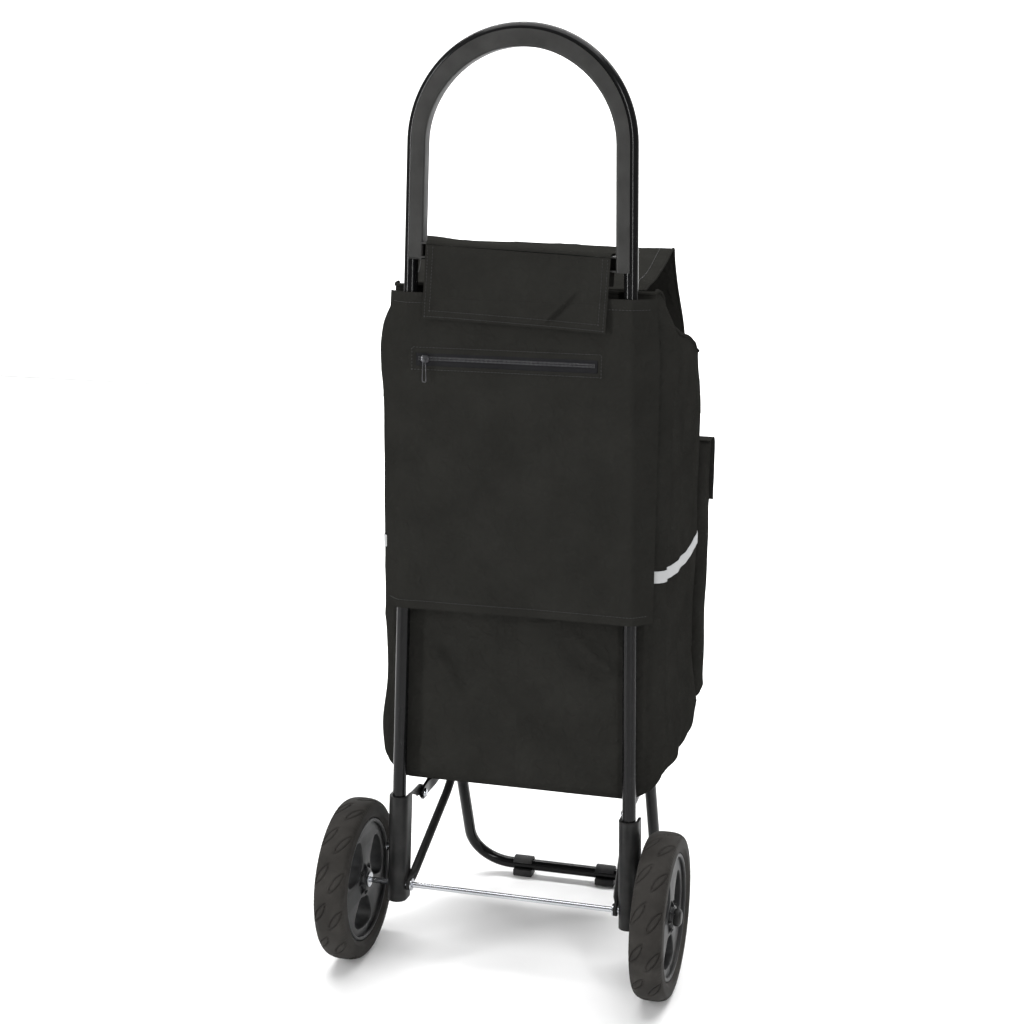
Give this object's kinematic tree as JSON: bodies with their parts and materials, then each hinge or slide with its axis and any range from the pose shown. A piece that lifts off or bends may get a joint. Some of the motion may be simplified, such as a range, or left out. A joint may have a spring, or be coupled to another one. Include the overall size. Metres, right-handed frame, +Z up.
{
  "type": "shopping trolley",
  "caption": "Upright shopping trolley: arched tube handle frame, lidded fabric bag with front and zipped back pockets, spoked foam-tyred wheels on an axle and a fixed front foot.",
  "frame": {"origin": "on the floor, at the middle of the bounding box", "axes": "+Z up; +Y forward, to the bag's front; the handle side faces -Y; +X to the right seen from the handle side"},
  "size_m": [0.3746, 0.3713, 0.966],
  "materials": {
    "gloss_black_tube": "gloss black powder paint on steel tube",
    "satin_black_steel": "satin black paint on pressed steel",
    "insert_grey": "dark grey moulded plastic, matte",
    "bright_steel": "bright plated steel",
    "tyre_foam": "dark foam rubber, matte, moulded tread",
    "rim_plastic": "black moulded plastic, satin",
    "pad_plastic": "soft black plastic",
    "bag_cloth": "black coated polyester plain weave",
    "board_plastic": "grey plastic board",
    "zip_plastic": "black zip tape and moulded zip parts",
    "reflective_tape": "silver grey reflective tape"
  },
  "bodies": {
    "root": {"frame_tube": "gloss_black_tube", "foot_tube": "gloss_black_tube", "bracket_left": "satin_black_steel", "bracket_right": "satin_black_steel", "strut_left": "satin_black_steel", "strut_right": "satin_black_steel", "axle_cap_left": "satin_black_steel", "axle_cap_right": "satin_black_steel", "grip_insert": "insert_grey", "axle": "bright_steel", "axle_clip_left": "bright_steel", "axle_clip_right": "bright_steel", "wheel_washer_left": "bright_steel", "wheel_washer_right": "bright_steel", "bracket_rivet_left": "bright_steel", "bracket_rivet_right": "bright_steel", "foot_rivet_left": "bright_steel", "foot_rivet_right": "bright_steel", "strut_rivet_left": "bright_steel", "strut_rivet_right": "bright_steel", "foot_pad_left": "pad_plastic", "foot_pad_right": "pad_plastic", "bag_body": "bag_cloth", "back_sleeve": "bag_cloth", "hanger_strap": "bag_cloth", "front_pocket": "bag_cloth", "base_board": "board_plastic", "zip_tape": "zip_plastic", "reflective_strip_left": "reflective_tape", "reflective_strip_right": "reflective_tape"},
    "left_wheel": {"hub_bush_left": "bright_steel", "tyre_left": "tyre_foam", "rim_left": "rim_plastic"},
    "right_wheel": {"hub_bush_right": "bright_steel", "tyre_right": "tyre_foam", "rim_right": "rim_plastic"},
    "lid": {"bag_lid": "bag_cloth"},
    "front_flap": {"hanger_flap": "bag_cloth"},
    "zip_slider": {"zip_slider": "zip_plastic"},
    "zip_pull": {"zip_pull": "zip_plastic"},
    "pocket_flap": {"pocket_flap": "bag_cloth"}
  },
  "joints": [
    {"name": "left_wheel_spin", "type": "hinge", "parent": "root", "child": "left_wheel", "pos_m": [-0.165, -0.10056, 0.085], "axis": [1, 0, 0], "continuous": true},
    {"name": "right_wheel_spin", "type": "hinge", "parent": "root", "child": "right_wheel", "pos_m": [0.165, -0.10056, 0.085], "axis": [1, 0, 0], "continuous": true},
    {"name": "lid_open", "type": "hinge", "parent": "root", "child": "lid", "pos_m": [0.007, -0.05785, 0.71618], "axis": [1, 0, 0], "range_deg": [0, 82]},
    {"name": "front_flap_lift", "type": "hinge", "parent": "root", "child": "front_flap", "pos_m": [0.00739, -0.07865, 0.75461], "axis": [-0.999, 0.0021, 0.0436], "range_deg": [0, 95]},
    {"name": "zip_slide", "type": "slide", "parent": "root", "child": "zip_slider", "axis": [1, 0, 0], "range_m": [0, 0.163]},
    {"name": "zip_pull_swing", "type": "hinge", "parent": "zip_slider", "child": "zip_pull", "pos_m": [-0.085, -0.08852, 0.64406], "axis": [-1, 0, 0], "range_deg": [0, 100]},
    {"name": "pocket_flap_open", "type": "hinge", "parent": "root", "child": "pocket_flap", "pos_m": [0.007, 0.14903, 0.52831], "axis": [1, 0, 0], "range_deg": [0, 90]}
  ]
}
